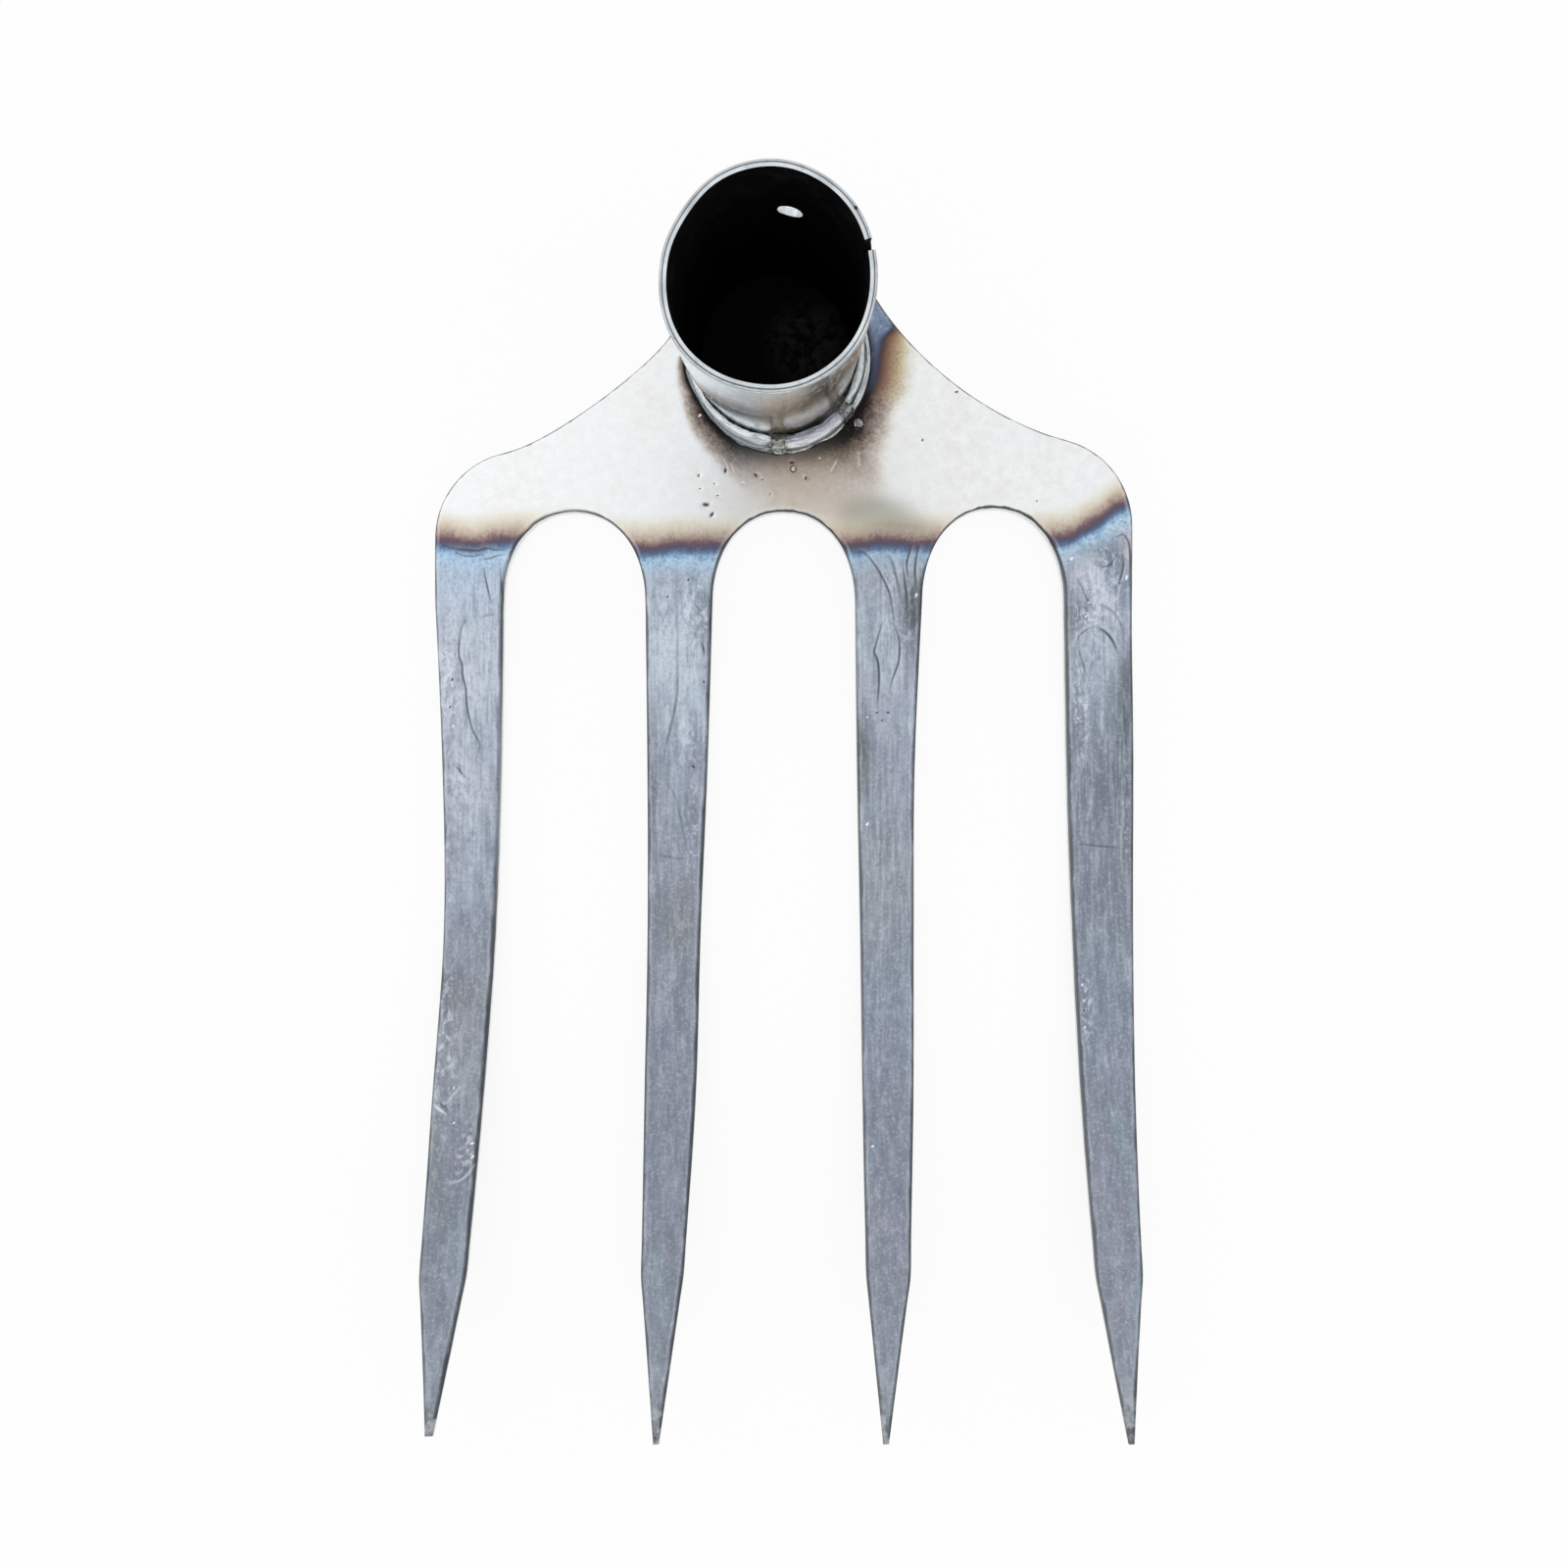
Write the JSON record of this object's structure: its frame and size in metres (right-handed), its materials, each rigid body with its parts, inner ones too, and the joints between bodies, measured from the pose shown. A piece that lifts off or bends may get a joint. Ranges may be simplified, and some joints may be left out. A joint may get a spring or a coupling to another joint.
{
  "type": "tilling rake head",
  "caption": "Four-tined tilling rake head: a forged steel tine plate with a leaning socket tube welded on for a wooden handle.",
  "frame": {"origin": "on the plate's flat back face, on its centre line, level with the middle of the socket's foot", "axes": "+X across the tines to the right, +Y along the tines towards the plate's peak, +Z out of the plate's front towards the socket's mouth"},
  "size_m": [0.1661, 0.2743, 0.0831],
  "materials": {
    "plate_steel": "ground plate, forged and heat-tinted tines",
    "tube_steel": "rolled tube, dark inside",
    "weld_metal": "as-laid weld bead"
  },
  "bodies": {
    "root": {"tine_plate": "plate_steel", "socket_tube": "tube_steel", "weld_left": "weld_metal", "weld_front": "weld_metal", "weld_right_outer": "weld_metal", "weld_right_inner": "weld_metal", "weld_rear": "weld_metal", "weld_stop_front": "weld_metal", "weld_stop_right": "weld_metal", "spatter_front": "weld_metal", "spatter_right": "weld_metal"}
  },
  "joints": []
}
